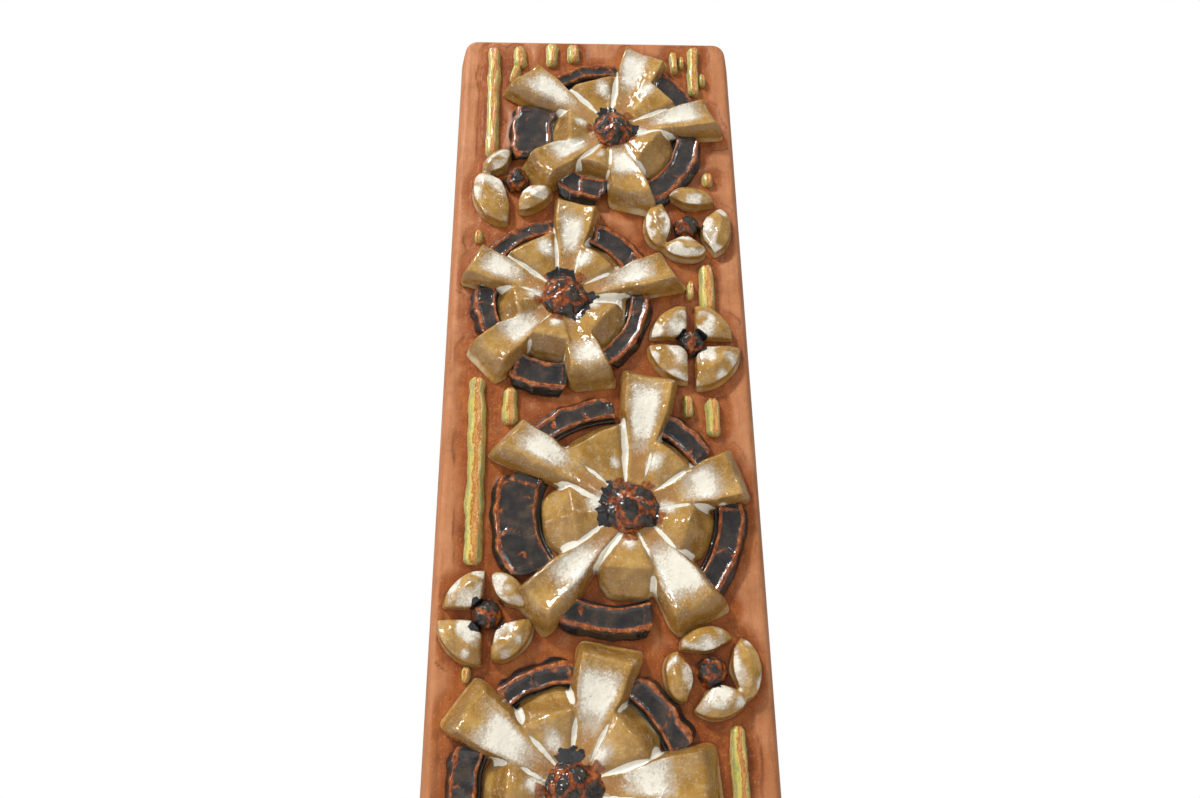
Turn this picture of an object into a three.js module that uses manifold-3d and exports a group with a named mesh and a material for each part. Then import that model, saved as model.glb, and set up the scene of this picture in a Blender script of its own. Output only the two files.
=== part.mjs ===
// A long stoneware wall plaque, hung upright, with a carved relief of flowers on its front.
//
// Frame: millimetres, +Z up along the length, +X to the right, the front looks along -Y.
// The back lies on y = 0 and the origin is the middle of the back.
// The whole plaque is one fired solid: the slab and every petal, band, bud and stroke on it.

import * as THREE from 'three';
import { mergeVertices } from 'three/addons/utils/BufferGeometryUtils.js';
import Module from 'manifold-3d';

// ---------------------------------------------------------------- driving dimensions

const PLAQUE = {
  width: 125, // across the back
  length: 401,
  slab: 13, // back to the ground that the relief stands on
  draft: 3.2, // each side leans in by this much on its way to the front
  cornerRadius: 5, // the four corners, seen from the front
  edgeRound: 1.4, // soft edge all round the front
};

// A blind recess in the back, near the top, that a nail or a hook goes into.
const RECESS = { width: 22, height: 14, depth: 6, z: 150 };

const ROOT_DEPTH = 1.5; // how far each raised form reaches into the slab

// Long petals swell from a narrow root beside the bud to a high, wide crest.
const ARM = {
  rootAt: 5, // start of the petal, from the middle of the flower
  rootHalfWidth: 3.4,
  height: 9.8,
  hollow: 0.9, // dip along the top
};

// Short petals fill the space between two long ones: they rise to a peak and fall outwards.
const WEDGE = { rootAt: 6, rootHalfWidth: 1.8 };

// Curved bands ring the short petals. Their tops are slightly hollow between two rims.
const BAND = { height: 4.2, hollow: 0.9, flank: 2.2, tuck: 1.6, endRound: 6 };

const BUD = { height: 9.6, sides: 12, rows: 4, lumps: 5, lumpDepth: 0.06 };
const SMALL_BUD = { radius: 5.4, height: 6.2, sides: 8, rows: 3 };
const COLLAR = { radius: 26, height: 3.4, slope: 6, sides: 16 }; // low web that joins the petals of a flower
const SMALL_PETAL = { height: 6.4, halfGap: 1.6 };
const STROKE = { height: 2.8 };

// Four large flowers, from the top. Angles are degrees anticlockwise from +X.
//   arms:   [angle, distance to the crest, run of the end, width, skew of the end in degrees,
//            run of the anticlockwise side, run of the clockwise side]
//   wedges: [angle, distance to the peak, reach, half width, height, half width of the crest]
//   bands:  [inner radius, outer radius] in the gap after each arm, about ringCentre
const FLOWERS = [
  {
    centre: [7, 148], budRadius: 10.1, ringCentre: [4.3, 147],
    arms: [
      [9, 42.5, 4, 18.5, -12, 2.5, 3], [69, 40.8, 5, 22, 7, 1.6, 1.6], [146.2, 46.5, 4, 19.5, 15, 7, 2],
      [214.5, 35.5, 6.5, 19, 0, 3, 2.5], [282, 34.2, 6.2, 19.5, 18, 2, 2.5],
    ],
    wedges: [
      [43, 28, 32, 10.5, 7.8, 8.5], [109, 25.5, 31, 11, 7.6, 8], [180, 18.5, 27, 11, 8, 3],
      [249, 21.5, 24, 7.5, 7.6, 4], [326, 18, 28.5, 11, 7.8, 5],
    ],
    bands: [[29, 45], [31, 40], [24, 43.5], [24, 37], [30, 43]],
  },
  {
    centre: [-14, 65.8], budRadius: 10.8, ringCentre: [-15, 65],
    arms: [
      [15.5, 43.8, 4, 18.5, -14, 2.5, 3], [82.8, 41, 5, 20, 8, 2.2, 2.2], [158, 38.5, 3, 18.5, 4, 3, 2.5],
      [223, 36.5, 8, 19.5, 0, 3, 2.5], [287.5, 33.2, 7.5, 18.5, 8, 2.5, 2.5],
    ],
    wedges: [
      [49, 21.5, 29, 10, 7.8, 6], [120, 26.5, 31, 11, 7.6, 8.5], [193, 19, 27.5, 9.5, 8, 3],
      [256, 20.8, 27.5, 9.5, 8.6, 7.5], [321, 19, 27.5, 10.5, 7.8, 5],
    ],
    bands: [[28, 40.8], [30, 40], [26, 37], [28, 42], [27.5, 37.5]],
  },
  {
    centre: [11.6, -23], budRadius: 11.3, ringCentre: [6.3, -24],
    arms: [
      [18.2, 39.6, 5, 21.5, 0, 2, 2], [81, 51, 5, 23, 3, 2.5, 2.5], [148.7, 52.3, 4, 20.5, 8, 6, 2.5],
      [226, 47.2, 7, 20, 4, 5, 2.5], [301.5, 40.8, 7.5, 23, 4, 4.5, 3],
    ],
    wedges: [
      [52, 25.5, 31, 9, 7.6, 6], [117.5, 30.5, 35, 12.5, 8, 9.5], [188, 21.5, 33.5, 12.3, 8.2, 3],
      [266.5, 22.5, 33, 10.5, 8.2, 7.5], [340, 21, 31, 11, 8, 4],
    ],
    bands: [[34, 45.5], [37, 48], [29.5, 48], [34.5, 46.5], [37, 49]],
  },
  {
    centre: [-10, -119], budRadius: 11.3, ringCentre: [-10.5, -119],
    arms: [
      [5, 42.5, 7, 21, 0, 2.5, 2.5], [73.5, 42.8, 6, 24, -4, 3, 3.5], [144, 42, 7, 21.5, 0, 3, 3],
      [216, 40, 7, 20, 0, 3, 3], [288, 38, 7, 20, 0, 3, 3],
    ],
    wedges: [
      [41, 26, 34, 10.5, 8, 6], [109, 24, 34, 10.5, 8, 7], [180, 21, 30, 10.5, 8, 4],
      [252, 21, 31, 10.5, 8, 5], [327, 21, 32, 10.5, 8, 5],
    ],
    bands: [[34.5, 46], [33.5, 43.5], [31, 43], [32, 44], [33, 45]],
  },
];

// Small four-petalled flowers.
//   petals: [angle, half of the span in degrees, inner edge, outer edge,
//            straightness of the inner edge, growth of the outer edge along the span]
const SMALL_FLOWERS = [
  {
    centre: [-34.5, 123.5],
    petals: [[136, 36, 7.5, 17, 1, 0], [214, 49, 6.5, 21.8, 0.7, 0.2], [308, 38, 7.5, 18, 0.6, 0]],
  },
  {
    centre: [37.8, 100.5],
    petals: [
      [80, 36, 10, 19.5, 1, 0], [350, 45, 6, 19.5, 0.6, 0],
      [263, 42, 6, 17, 0.8, 0], [180, 45, 7, 18.8, 0.9, 0],
    ],
  },
  {
    centre: [37.2, 46.3],
    petals: [
      [135, 43, 5, 17.8, 0.4, 0], [44, 43, 5, 18, 0.4, 0],
      [224, 43, 5, 18.8, 0.4, 0], [313, 43, 5, 21.3, 0.4, 0],
    ],
  },
  {
    centre: [-40.6, -61],
    petals: [
      [133, 43, 5, 17.2, 0.5, 0], [47, 40, 7, 16.8, 0.8, 0],
      [226, 43, 5, 19.3, 0.5, 0], [315, 40, 6.5, 18.5, 0.8, 0],
    ],
  },
  {
    centre: [38.8, -81],
    petals: [
      [101, 46, 7, 16.3, 1, 0], [5, 46, 7, 18, 0.7, 0],
      [283, 46, 5, 16.8, 0.6, 0], [189, 38, 7.5, 17.8, 1, 0],
    ],
  },
  {
    centre: [-36, -174],
    petals: [
      [45, 42, 5, 17, 0.5, 0], [135, 42, 5, 17.5, 0.5, 0], [225, 42, 5, 18, 0.5, 0], [315, 42, 5, 17, 0.5, 0],
    ],
  },
  {
    centre: [35, -170],
    petals: [
      [50, 42, 5, 17, 0.6, 0], [140, 42, 5, 17, 0.6, 0], [230, 42, 5, 18, 0.6, 0], [320, 42, 5, 18, 0.6, 0],
    ],
  },
];

// Thin upright strokes along the borders: [x, z, length, width, lean in degrees]
const STROKES = [
  [-46, 166, 59.5, 6, 1], [-34.6, 191, 11.5, 6.4, 4], [-36.6, 181.2, 9, 4.6, -14],
  [-20.2, 192.4, 12.4, 5.8, 0],
  [-10.1, 193.3, 9.4, 5.8, 0], [35.6, 188.8, 11.5, 4, 3], [39, 189, 6, 2.6, 0], [44.3, 184, 27, 5.8, -2],
  [48.4, 179, 6, 3.4, 0], [48, 125, 6, 5.5, 0], [-49.4, 95.5, 5.5, 4, 0], [38.2, 70.5, 8, 3.6, 0],
  [45, 71.5, 21.5, 6.5, 0], [-47, -6, 74, 7.4, 0.5], [-34.4, 19.2, 15, 6, 0], [34.8, 19.2, 8.5, 5, 0],
  [44.5, 14.5, 15.5, 6, 0], [-47.3, -81.5, 5.5, 3.6, 0], [46.5, -122, 46, 6.6, 0],
  [-49, -133, 22, 5.5, 0], [-14, -190, 13, 6, 0], [-3, -192, 9, 5, 0], [9, -189, 15, 5.5, 3],
];

// ---------------------------------------------------------------- geometry helpers

const DEGREE = Math.PI / 180;
const lerp = THREE.MathUtils.lerp;

/** A point of the relief: x and z on the ground, and how far it stands in front of it. */
const onGround = (x, z, rise) => new THREE.Vector3(x, -PLAQUE.slab - rise, z);

/** Local axes of a form that starts at a place on the ground and runs off at an angle. */
function placedAt([x, z], angle) {
  const along = [Math.cos(angle * DEGREE), Math.sin(angle * DEGREE)];
  return (s, across, rise) => onGround(
    x + along[0] * s - along[1] * across,
    z + along[1] * s + along[0] * across,
    rise,
  );
}

/** Skins a row of sections with the same number of points and closes both ends with a fan. */
function loft(sections) {
  const points = sections.flat();
  const count = sections[0].length;
  const index = [];
  for (let row = 0; row + 1 < sections.length; row += 1) {
    for (let i = 0; i < count; i += 1) {
      const a = row * count + i;
      const b = row * count + ((i + 1) % count);
      index.push(a, b, b + count, a, b + count, a + count);
    }
  }
  for (const [row, turn] of [[0, 1], [sections.length - 1, -1]]) {
    const middle = new THREE.Vector3();
    sections[row].forEach((p) => middle.addScaledVector(p, 1 / count));
    points.push(middle);
    for (let i = 0; i < count; i += 1) {
      const pair = [row * count + i, row * count + ((i + 1) % count)];
      index.push(points.length - 1, ...(turn > 0 ? pair.reverse() : pair));
    }
  }
  return closedGeometry(points, index);
}

/** Builds a closed mesh and turns it so that its faces point out. */
function closedGeometry(points, index) {
  let volume = 0;
  for (let i = 0; i < index.length; i += 3) {
    const [a, b, c] = [points[index[i]], points[index[i + 1]], points[index[i + 2]]];
    volume += a.dot(b.clone().cross(c));
  }
  if (volume < 0) index.reverse();
  const geometry = new THREE.BufferGeometry();
  const coordinates = points.flatMap((p) => p.toArray());
  geometry.setAttribute('position', new THREE.Float32BufferAttribute(coordinates, 3));
  geometry.setIndex(index);
  return geometry;
}

// ---------------------------------------------------------------- the slab

/** Rounded rectangle on a plane of constant y, drawn in from the back's outline at the sides and the ends. */
function slabOutline(y, sideInset, endInset) {
  const radius = PLAQUE.cornerRadius;
  const halfWidth = PLAQUE.width / 2 - sideInset;
  const halfLength = PLAQUE.length / 2 - endInset;
  const steps = 4;
  const corners = [[1, 1], [-1, 1], [-1, -1], [1, -1]];
  return corners.flatMap(([sx, sz], corner) => Array.from({ length: steps + 1 }, (_, step) => {
    const angle = (corner * 90 + (90 * step) / steps) * DEGREE;
    return new THREE.Vector3(
      sx * (halfWidth - radius) + radius * Math.cos(angle),
      y,
      sz * (halfLength - radius) + radius * Math.sin(angle),
    );
  }));
}

function makeSlab() {
  const { slab, draft, edgeRound } = PLAQUE;
  return loft([
    slabOutline(0, 0, 0),
    slabOutline(-(slab - edgeRound), draft * 0.9, 0.1),
    slabOutline(-(slab - edgeRound * 0.3), draft * 0.9 + edgeRound * 0.4, 0.2),
    slabOutline(-slab, draft + edgeRound, edgeRound * 0.5),
  ]);
}

function makeRecess() {
  const box = new THREE.BoxGeometry(RECESS.width, RECESS.depth * 2, RECESS.height);
  return box.translate(0, 0, RECESS.z);
}

// ---------------------------------------------------------------- the large flowers

function makeArm(centre, [angle, crestAt, endRun, width, skew, leftRun, rightRun]) {
  const place = placedAt(centre, angle);
  const { rootAt, rootHalfWidth, height, hollow } = ARM;
  const half = width / 2;
  const neck = lerp(rootHalfWidth, half, 0.2);
  const shoulder = lerp(rootHalfWidth, half, 0.8);
  // [distance, half width at the foot, share of the side runs, rise, hollow]
  const stations = [
    [rootAt, rootHalfWidth, 0.3, height * 0.42, 0.2],
    [crestAt * 0.42, neck, 0.45, height * 0.62, hollow * 0.5],
    [crestAt * 0.74, shoulder, 0.85, height * 0.9, hollow],
    [crestAt, half * 0.98, 1, height, hollow],
    [crestAt + endRun * 0.6, half * 1.03, 0.9, height * 0.55, 0],
    [crestAt + endRun * 1.15, half, 0.4, -ROOT_DEPTH, 0],
  ];
  return loft(stations.map(([s, foot, share, rise, dip]) => {
    const lean = Math.tan(skew * DEGREE) * (s / crestAt) ** 2;
    const left = foot - leftRun * share;
    const right = foot - rightRun * share;
    const section = [
      [-foot, -ROOT_DEPTH], [-right, rise], [(left - right) / 2, rise - dip], [left, rise],
      [foot, -ROOT_DEPTH],
    ];
    return section.map(([across, up]) => place(s + across * lean, across, Math.max(up, -ROOT_DEPTH)));
  }));
}

function makeWedge(centre, [angle, peakAt, reach, half, height, crest]) {
  const place = placedAt(centre, angle);
  const { rootAt, rootHalfWidth } = WEDGE;
  // [distance, half width at the foot, half width of the top, rise]
  const stations = [
    [rootAt, rootHalfWidth + 0.8, 0.5, height * 0.45],
    [peakAt * 0.62, lerp(rootHalfWidth, half, 0.55) + 0.8, crest * 0.45, height * 0.82],
    [peakAt, half + 0.8, crest, height + 0.4],
    [lerp(peakAt, reach, 0.7), half + 0.5, crest * 0.9, height * 0.68],
    [reach + 0.8, half * 0.7, crest * 0.6, -ROOT_DEPTH],
  ];
  return loft(stations.map(([s, foot, top, rise]) => [
    place(s, -foot, -ROOT_DEPTH), place(s, -top, rise * 0.9), place(s, 0, rise), place(s, top, rise * 0.9),
    place(s, foot, -ROOT_DEPTH),
  ]));
}

/** Half the angle that a long petal covers at a radius of the ring, less what a band tucks under it. */
function armCover([, crestAt, , width], radius) {
  const share = Math.min(radius / crestAt, 1) ** 2;
  const half = lerp(ARM.rootHalfWidth, width / 2, share) - BAND.tuck;
  return half / radius / DEGREE;
}

function makeBand(ringCentre, arm, nextArm, [inner, outer]) {
  const turn = nextArm[0] < arm[0] ? 360 : 0;
  const { height, hollow, flank } = BAND;
  const middle = (inner + outer) / 2;
  // [radius, rise] from the inner foot over both rims to the outer foot
  const profile = [
    [inner, -ROOT_DEPTH], [inner + flank * 0.4, height], [middle - flank * 0.3, height - hollow],
    [outer - flank, height], [outer, -ROOT_DEPTH],
  ];
  const steps = 4;
  return loft(Array.from({ length: steps + 1 }, (_, step) => profile.map(([radius, rise]) => {
    // the outer corners are drawn in
    const share = Math.max(0, (radius - inner) / (outer - inner) - 0.3) / 0.7;
    const pull = (BAND.endRound * share ** 2.2) / radius / DEGREE;
    const from = arm[0] + armCover(arm, radius) + pull;
    const to = nextArm[0] + turn - armCover(nextArm, radius) - pull;
    return placedAt(ringCentre, lerp(from, to, step / steps))(radius, 0, rise);
  })));
}

function makeBud([x, z], radius, height, sides, rows) {
  const dome = new THREE.SphereGeometry(1, sides, rows * 2);
  dome.deleteAttribute('normal');
  dome.deleteAttribute('uv');
  dome.rotateX(Math.PI / 2);
  const merged = mergeVertices(dome);
  const position = merged.attributes.position;
  for (let i = 0; i < position.count; i += 1) {
    const px = position.getX(i);
    const py = position.getZ(i);
    const up = -position.getY(i);
    const lump = 1 + BUD.lumpDepth * Math.sin(BUD.lumps * Math.atan2(py, px)) * Math.sqrt(1 - up * up);
    const rise = up > 0 ? up * height : up * ROOT_DEPTH;
    position.setXYZ(i, x + px * radius * lump, -PLAQUE.slab - rise, z + py * radius * lump);
  }
  const points = [];
  for (let i = 0; i < position.count; i += 1) {
    points.push(new THREE.Vector3().fromBufferAttribute(position, i));
  }
  return closedGeometry(points, [...merged.index.array]);
}

function makeCollar([x, z], radius) {
  const ring = (r, rise) => Array.from({ length: COLLAR.sides }, (_, i) => {
    const angle = (i / COLLAR.sides) * 360 * DEGREE;
    return onGround(x + r * Math.cos(angle), z + r * Math.sin(angle), rise);
  });
  return loft([ring(radius, -ROOT_DEPTH), ring(radius, 0.1), ring(radius - COLLAR.slope, COLLAR.height)]);
}

function makeFlower({ centre, arms, wedges, bands, ringCentre, budRadius }) {
  return [
    makeCollar(centre, COLLAR.radius),
    makeBud(centre, budRadius, BUD.height, BUD.sides, BUD.rows),
    ...arms.map((arm) => makeArm(centre, arm)),
    ...wedges.map((wedge) => makeWedge(centre, wedge)),
    ...bands.map((band, i) => makeBand(ringCentre, arms[i], arms[(i + 1) % arms.length], band)),
  ];
}

// ---------------------------------------------------------------- small flowers and strokes

function makeSmallPetal(centre, [angle, span, inner, outer, straight, growth]) {
  const { height, halfGap } = SMALL_PETAL;
  const rows = [-1, -0.82, -0.3, 0.3, 0.82, 1];
  return loft(rows.map((u) => {
    // the sides run straight along the channel between two petals
    const place = (radius, rise) => {
      const turn = span + 2 - Math.asin(halfGap / Math.max(radius, 4.5)) / DEGREE;
      return placedAt(centre, angle + u * turn)(radius, 0, rise);
    };
    const chord = (inner - 1) / Math.cos(u * span * DEGREE);
    const near = lerp(inner - 1, chord, straight);
    const tip = Math.max(0.1, straight - 0.4) * u ** 4;
    const far = lerp(outer * (1 + growth * u), near, tip);
    const rise = height * (1 - 0.5 * u ** 4);
    const crest = lerp(near, far, 0.6);
    return [
      place(near, -ROOT_DEPTH), place(lerp(near, crest, 0.2), rise * 0.72), place(crest, rise),
      place(lerp(crest, far, 0.75), rise * 0.6), place(far, -ROOT_DEPTH),
    ];
  }));
}

function makeSmallFlower({ centre, petals }) {
  const { radius, height, sides, rows } = SMALL_BUD;
  return [
    makeBud(centre, radius, height, sides, rows),
    ...petals.map((petal) => makeSmallPetal(centre, petal)),
  ];
}

function makeStroke([x, z, length, width, lean]) {
  const place = placedAt([x, z], 90 + lean);
  const half = length / 2;
  const rows = [[-half, 0.75, 0.3], [-half + 1.2, 1, 1], [half - 1.2, 1, 1], [half, 0.75, 0.3]];
  return loft(rows.map(([s, wide, tall]) => {
    const foot = (width / 2) * wide;
    const rise = STROKE.height * tall;
    const top = foot * 0.7;
    return [
      place(s, -foot, -ROOT_DEPTH), place(s, -top, rise), place(s, top, rise), place(s, foot, -ROOT_DEPTH),
    ];
  }));
}

// ---------------------------------------------------------------- joining

const wasm = await Module();
wasm.setup();

/** A closed geometry as a manifold-3d solid. */
function toSolid(geometry) {
  const clean = geometry.clone();
  clean.deleteAttribute('normal');
  clean.deleteAttribute('uv');
  const merged = mergeVertices(clean, 1e-5);
  return new wasm.Manifold(new wasm.Mesh({
    numProp: 3,
    vertProperties: new Float32Array(merged.attributes.position.array),
    triVerts: new Uint32Array(merged.index.array),
  }));
}

/** A solid back as a geometry for a mesh. */
function toGeometry(solid) {
  const mesh = solid.getMesh();
  const geometry = new THREE.BufferGeometry();
  geometry.setAttribute('position', new THREE.Float32BufferAttribute(mesh.vertProperties, mesh.numProp));
  geometry.setIndex([...mesh.triVerts]);
  geometry.computeVertexNormals();
  return geometry;
}

function makePlaque() {
  const forms = [
    ...FLOWERS.flatMap(makeFlower),
    ...SMALL_FLOWERS.flatMap(makeSmallFlower),
    ...STROKES.map(makeStroke),
  ];
  const body = forms.reduce((whole, form) => whole.add(toSolid(form)), toSolid(makeSlab()));
  return toGeometry(body.subtract(toSolid(makeRecess())));
}

// ---------------------------------------------------------------- the object

const firedClay = new THREE.MeshStandardMaterial({ color: 0xb57f58, roughness: 0.55, metalness: 0 });

const plaque = new THREE.Mesh(makePlaque(), firedClay);
plaque.name = 'plaque';

const wallPlaque = new THREE.Group();
wallPlaque.add(plaque);

export default wallPlaque;
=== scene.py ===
"""A long stoneware wall plaque with a glazed relief of flowers, hung upright.

The frame is the part's own: +Z up along the length, +X to the right, the front looks along -Y and the
back lies on y = 0. Shapes are worked out in millimetres on the plaque's ground, as x, z and a rise in
front of it, and are turned to metres as they are drawn.
"""

import logging
import math
from collections.abc import Callable, Sequence
from dataclasses import dataclass
from enum import Enum
from typing import ClassVar

import bmesh
import bpy
import numpy as np
from mathutils import Matrix, Vector, kdtree, noise

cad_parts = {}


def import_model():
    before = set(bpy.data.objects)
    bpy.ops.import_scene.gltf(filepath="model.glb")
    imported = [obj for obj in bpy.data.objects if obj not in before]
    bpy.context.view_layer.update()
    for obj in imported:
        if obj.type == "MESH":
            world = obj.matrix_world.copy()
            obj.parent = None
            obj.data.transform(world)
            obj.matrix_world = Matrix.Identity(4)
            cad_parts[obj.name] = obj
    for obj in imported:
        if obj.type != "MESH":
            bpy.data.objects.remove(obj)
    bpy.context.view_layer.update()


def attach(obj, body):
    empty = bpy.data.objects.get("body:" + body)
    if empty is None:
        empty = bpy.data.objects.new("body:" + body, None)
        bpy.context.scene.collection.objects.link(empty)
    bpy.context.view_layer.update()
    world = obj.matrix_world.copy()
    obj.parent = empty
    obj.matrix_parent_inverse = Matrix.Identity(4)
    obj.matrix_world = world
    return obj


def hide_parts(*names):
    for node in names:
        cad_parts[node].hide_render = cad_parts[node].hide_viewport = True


LOG = logging.getLogger("plaque")
MM = 0.001
NODE = "plaque"
ROOT_DEPTH = 1.5  # how far each raised form reaches into the slab
CUT_DEPTH = 0.9  # how far under the ground a melted skin is cut off

Ring = list[Vector]
Field = np.ndarray
Socket = bpy.types.NodeSocket


# ---------------------------------------------------------------- sizes of the relief


@dataclass(frozen=True)
class Arm:
    """A long petal that swells from a narrow root beside the bud to a high, wide crest.

    Distances are from the middle of the flower. The runs say how far its end and its sides slope, and
    left is the anticlockwise side. skew turns the crest, in degrees. pool is where white glaze gathers on
    the top: start and end as shares of crest_at, then middle and half width as shares of half the top's
    width.
    """

    angle: float
    crest_at: float
    end_run: float
    width: float
    skew: float
    left_run: float
    right_run: float
    pool: tuple[float, float, float, float] = (0.42, 0.9, 0.0, 0.7)


@dataclass(frozen=True)
class Wedge:
    """A short petal between two long ones. It rises to a peak and falls outwards.

    half is half its width at the foot, crest that of its top, both at the peak. spot is a small pool of
    white glaze: share of peak_at, share of the half width, radius.
    """

    angle: float
    peak_at: float
    reach: float
    half: float
    height: float
    crest: float
    spot: tuple[float, float, float] = (0.65, 0.0, 3.0)


@dataclass(frozen=True)
class Band:
    """A curved band in the gap after a long petal.

    It has an inner and an outer radius, and ridges across it at shares of its length.
    """

    inner: float
    outer: float
    ridges: tuple[float, ...] = ()


@dataclass(frozen=True)
class Layout:
    """Where the forms of one large flower stand."""

    name: str
    centre: tuple[float, float]
    bud_radius: float
    ring_centre: tuple[float, float]
    arms: tuple[Arm, ...]
    wedges: tuple[Wedge, ...]
    bands: tuple[Band, ...]


LAYOUTS = (
    Layout(
        "flower_1", (7, 148), 10.1, (4.3, 147),
        (
            Arm(9, 42.5, 4, 18.5, -12, 2.5, 3, (0.38, 0.93, 0.3, 0.55)),
            Arm(69, 40.8, 5, 22, 7, 1.6, 1.6, (0.48, 0.99, 0.32, 0.5)),
            Arm(146.2, 46.5, 4, 19.5, 15, 7, 2, (0.42, 0.93, -0.1, 0.6)),
            Arm(214.5, 35.5, 6.5, 19, 0, 3, 2.5, (0.33, 0.85, -0.35, 0.55)),
            Arm(282, 34.2, 6.2, 19.5, 18, 2, 2.5, (0.28, 0.74, 0.0, 0.75)),
        ),
        (
            Wedge(43, 28, 32, 10.5, 7.8, 8.5, (0.85, 0.35, 3.6)),
            Wedge(109, 25.5, 31, 11, 7.6, 8, (0.8, -0.25, 3.6)),
            Wedge(180, 18.5, 27, 11, 8, 3, (0.75, -0.2, 2.6)),
            Wedge(249, 21.5, 24, 7.5, 7.6, 4, (0.7, 0.0, 2.0)),
            Wedge(326, 18, 28.5, 11, 7.8, 5, (0.6, 0.5, 3.2)),
        ),
        (Band(29, 45), Band(31, 40, (0.45,)), Band(24, 43.5), Band(24, 37, (0.5,)), Band(30, 43)),
    ),
    Layout(
        "flower_2", (-14, 65.8), 10.8, (-15, 65),
        (
            Arm(15.5, 43.8, 4, 18.5, -14, 2.5, 3, (0.42, 0.86, 0.25, 0.6)),
            Arm(82.8, 41, 5, 20, 8, 2.2, 2.2, (0.42, 0.88, 0.1, 0.55)),
            Arm(158, 38.5, 3, 18.5, 4, 3, 2.5, (0.45, 0.92, -0.15, 0.6)),
            Arm(223, 36.5, 8, 19.5, 0, 3, 2.5, (0.36, 0.82, -0.15, 0.7)),
            Arm(287.5, 33.2, 7.5, 18.5, 8, 2.5, 2.5, (0.66, 1.0, 0.1, 0.75)),
        ),
        (
            Wedge(49, 21.5, 29, 10, 7.8, 6, (0.8, 0.4, 3.6)),
            Wedge(120, 26.5, 31, 11, 7.6, 8.5, (0.82, -0.35, 3.8)),
            Wedge(193, 19, 27.5, 9.5, 8, 3, (0.6, -0.3, 3.0)),
            Wedge(256, 20.8, 27.5, 9.5, 8.6, 7.5, (0.62, 0.0, 2.8)),
            Wedge(321, 19, 27.5, 10.5, 7.8, 5, (0.6, 0.4, 3.0)),
        ),
        (
            Band(28, 40.8, (0.15, 0.85)), Band(30, 40, (0.3,)), Band(26, 37, (0.4,)), Band(28, 42),
            Band(27.5, 37.5, (0.45,)),
        ),
    ),
    Layout(
        "flower_3", (11.6, -23), 11.3, (6.3, -24),
        (
            Arm(18.2, 39.6, 5, 21.5, 0, 2, 2, (0.47, 0.86, 0.0, 0.75)),
            Arm(81, 51, 5, 23, 3, 2.5, 2.5, (0.42, 0.97, 0.08, 0.55)),
            Arm(148.7, 52.3, 4, 20.5, 8, 6, 2.5, (0.5, 0.95, -0.35, 0.5)),
            Arm(226, 47.2, 7, 20, 4, 5, 2.5, (0.36, 0.82, 0.0, 0.75)),
            Arm(301.5, 40.8, 7.5, 23, 4, 4.5, 3, (0.36, 0.93, 0.05, 0.75)),
        ),
        (
            Wedge(52, 25.5, 31, 9, 7.6, 6, (0.75, 0.4, 3.5)),
            Wedge(117.5, 30.5, 35, 12.5, 8, 9.5, (0.6, -0.2, 2.2)),
            Wedge(188, 21.5, 33.5, 12.3, 8.2, 3, (0.55, -0.3, 4.4)),
            Wedge(266.5, 22.5, 33, 10.5, 8.2, 7.5, (0.6, 0.0, 2.2)),
            Wedge(340, 21, 31, 11, 8, 4, (0.6, 0.45, 3.2)),
        ),
        (
            Band(34, 45.5), Band(37, 48, (0.3, 0.65)), Band(29.5, 48, (0.6,)), Band(34.5, 46.5, (0.3,)),
            Band(37, 49, (0.45,)),
        ),
    ),
    Layout(
        "flower_4", (-10, -119), 11.3, (-10.5, -119),
        (
            Arm(5, 42.5, 7, 21, 0, 2.5, 2.5, (0.35, 0.78, 0.15, 0.8)),
            Arm(73.5, 42.8, 6, 24, -4, 3, 3.5, (0.42, 0.92, 0.1, 0.65)),
            Arm(144, 42, 7, 21.5, 0, 3, 3, (0.35, 0.88, 0.12, 0.72)),
            Arm(216, 40, 7, 20, 0, 3, 3),
            Arm(288, 38, 7, 20, 0, 3, 3, (0.36, 0.86, 0.1, 0.7)),
        ),
        (
            Wedge(41, 26, 34, 10.5, 8, 6, (0.55, 0.2, 3.6)),
            Wedge(109, 24, 34, 10.5, 8, 7, (0.7, 0.1, 3.6)),
            Wedge(180, 21, 30, 10.5, 8, 4, (0.6, -0.2, 3.2)),
            Wedge(252, 21, 31, 10.5, 8, 5),
            Wedge(327, 21, 32, 10.5, 8, 5, (0.6, 0.3, 3.0)),
        ),
        (
            Band(34.5, 46, (0.4,)), Band(33.5, 43.5, (0.5,)), Band(31, 43, (0.5,)), Band(32, 44, (0.4,)),
            Band(33, 45, (0.6,)),
        ),
    ),
)


@dataclass(frozen=True)
class Petal:
    """A small petal between an inner and an outer edge, each at its distance from the middle.

    span is half the angle that it fills. straight says how straight the inner edge is, from 0 for an arc
    to 1. growth makes the anticlockwise end longer, by that share of the outer distance.
    """

    angle: float
    span: float
    inner: float
    outer: float
    straight: float
    growth: float = 0.0


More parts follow.
